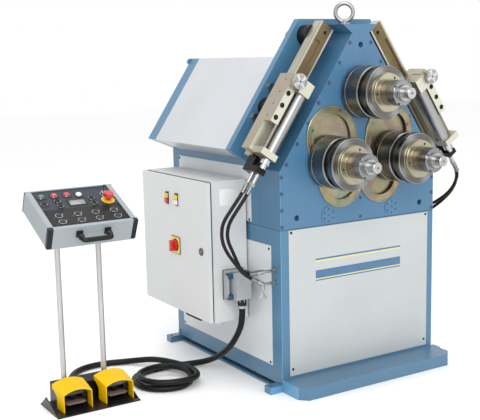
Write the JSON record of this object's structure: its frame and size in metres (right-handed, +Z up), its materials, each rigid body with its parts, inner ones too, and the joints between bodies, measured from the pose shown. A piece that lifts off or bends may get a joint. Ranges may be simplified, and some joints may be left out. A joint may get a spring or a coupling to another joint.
{
  "type": "ring roller",
  "caption": "Hydraulic section bending machine with forming rolls on swing arms, lateral guides on sloping rails, a switch cabinet and a console with foot pedals.",
  "frame": {"origin": "on the floor under the middle of the machine's front face, in the underside of the plinth plate", "axes": "+Z up, +X to the right seen from the front, +Y to the back; the rolls' axes lie along Y"},
  "size_m": [1.5776, 1.022, 1.32],
  "materials": {
    "blue_paint": "satin enamel",
    "grey_paint": "satin enamel",
    "black_paint": "satin enamel",
    "yellow_paint": "gloss enamel",
    "zinc_yellow": "yellow zinc plated",
    "zinc_white": "white zinc plated",
    "roll_steel": "dark turned steel",
    "shaft_steel": "ground steel",
    "chrome": "hard chromed",
    "cast_block": "black oxide",
    "rubber_black": "matt",
    "cable_sheath": "matt",
    "cabinet_grey": "textured powder coat",
    "plug_grey": "die cast, painted",
    "dark_plastic": "matt",
    "red_plastic": "gloss"
  },
  "bodies": {
    "frame": {"plinth": "blue_paint", "foot_bars": "blue_paint", "base_cabinet": "blue_paint", "front_panel": "grey_paint", "side_panels": "grey_paint", "head_block": "blue_paint", "upper_frame": "blue_paint", "arm_pivot": "shaft_steel", "oval_rims": "zinc_yellow", "trunnion_covers": "blue_paint", "guide_flange": "blue_paint", "flange_bolts": "zinc_white", "hood": "grey_paint", "rear_frame": "blue_paint", "eye_bolt": "zinc_white", "guide_rails": "shaft_steel", "standoff_sleeves": "black_paint", "standoff_rods": "shaft_steel", "piston_rods": "chrome", "cylinder_feet": "cast_block", "hose_fittings": "zinc_white", "hose_left_outer": "rubber_black", "hose_left_inner": "rubber_black", "hose_right_outer": "rubber_black", "hose_right_inner": "rubber_black", "wall_pipes": "zinc_white", "cabinet_shell": "cabinet_grey", "connector_base": "plug_grey", "connector_hood": "plug_grey", "cable_upper": "cable_sheath", "cable_coil": "cable_sheath", "cable_lower": "cable_sheath", "desk_box": "cabinet_grey", "desk_caps": "dark_plastic", "desk_panel": "dark_plastic", "desk_handle": "chrome", "console_posts": "shaft_steel", "console_tray": "black_paint", "pedal_guards": "yellow_paint"},
    "upper_roll": {"roll_upper_shaft": "shaft_steel", "roll_upper_rings": "roll_steel", "roll_upper_hub": "zinc_yellow"},
    "left_arm": {"arm_left": "zinc_yellow"},
    "left_roll": {"roll_left_shaft": "shaft_steel", "roll_left_rings": "roll_steel", "roll_left_hub": "zinc_yellow"},
    "right_arm": {"arm_right": "zinc_yellow"},
    "right_roll": {"roll_right_shaft": "shaft_steel", "roll_right_rings": "roll_steel", "roll_right_hub": "zinc_yellow"},
    "left_guide": {"guide_left": "zinc_white", "guide_cylinder_left": "chrome"},
    "right_guide": {"guide_right": "zinc_white", "guide_cylinder_right": "chrome"},
    "cabinet_door_body": {"cabinet_door": "cabinet_grey"},
    "switch_knob": {"main_switch": "red_plastic"},
    "stop_head": {"stop_button": "red_plastic"},
    "left_pedal": {"pedal_left": "zinc_white"},
    "right_pedal": {"pedal_right": "zinc_white"},
    "drain_wing": {"valve_handle": "zinc_white"}
  },
  "joints": [
    {"name": "upper_roll_spin", "type": "hinge", "parent": "frame", "child": "upper_roll", "pos_m": [0, 0, 1.011], "axis": [0, 1, 0], "continuous": true},
    {"name": "left_arm_swing", "type": "hinge", "parent": "frame", "child": "left_arm", "pos_m": [0, 0, 0.816], "axis": [0, 1, 0], "range_deg": [-30, 33]},
    {"name": "left_roll_spin", "type": "hinge", "parent": "left_arm", "child": "left_roll", "pos_m": [-0.142, 0, 0.7803], "axis": [0, 1, 0], "continuous": true},
    {"name": "right_arm_swing", "type": "hinge", "parent": "frame", "child": "right_arm", "pos_m": [0, 0, 0.816], "axis": [0, -1, 0], "range_deg": [-30, 33]},
    {"name": "right_roll_spin", "type": "hinge", "parent": "right_arm", "child": "right_roll", "pos_m": [0.142, 0, 0.7803], "axis": [0, 1, 0], "continuous": true},
    {"name": "left_guide_slide", "type": "slide", "parent": "frame", "child": "left_guide", "axis": [0.5619, 0, 0.8272], "range_m": [0, 0.15]},
    {"name": "right_guide_slide", "type": "slide", "parent": "frame", "child": "right_guide", "axis": [-0.5619, 0, 0.8272], "range_m": [0, 0.15]},
    {"name": "cabinet_door_hinge", "type": "hinge", "parent": "frame", "child": "cabinet_door_body", "pos_m": [-0.49, 0.691, 0.47], "axis": [0, 0, 1], "range_deg": [-30, 0]},
    {"name": "main_switch_turn", "type": "hinge", "parent": "cabinet_door_body", "child": "switch_knob", "pos_m": [-0.5113, 0.43, 0.467], "axis": [-1, 0, 0], "range_deg": [0, 90]},
    {"name": "stop_button_push", "type": "slide", "parent": "frame", "child": "stop_head", "axis": [0, 0.4163, -0.9092], "range_m": [0, 0.004], "stiffness_N_per_m": 1200, "springref_m": -0.002},
    {"name": "left_pedal_press", "type": "hinge", "parent": "frame", "child": "left_pedal", "pos_m": [-0.988, 0.314, 0.02], "axis": [1, 0, 0], "range_deg": [0, 8], "stiffness_Nm_per_rad": 3, "springref_deg": -11.46},
    {"name": "right_pedal_press", "type": "hinge", "parent": "frame", "child": "right_pedal", "pos_m": [-0.839, 0.314, 0.02], "axis": [1, 0, 0], "range_deg": [0, 8], "stiffness_Nm_per_rad": 3, "springref_deg": -11.46},
    {"name": "drain_wing_turn", "type": "hinge", "parent": "frame", "child": "drain_wing", "pos_m": [-0.391, 0.038, 0.348], "axis": [0, 0, 1], "range_deg": [0, 90]}
  ],
  "couplings": [
    {"joint": "left_roll_spin", "follows": "upper_roll_spin", "ratio": -1},
    {"joint": "right_roll_spin", "follows": "upper_roll_spin", "ratio": -1}
  ]
}
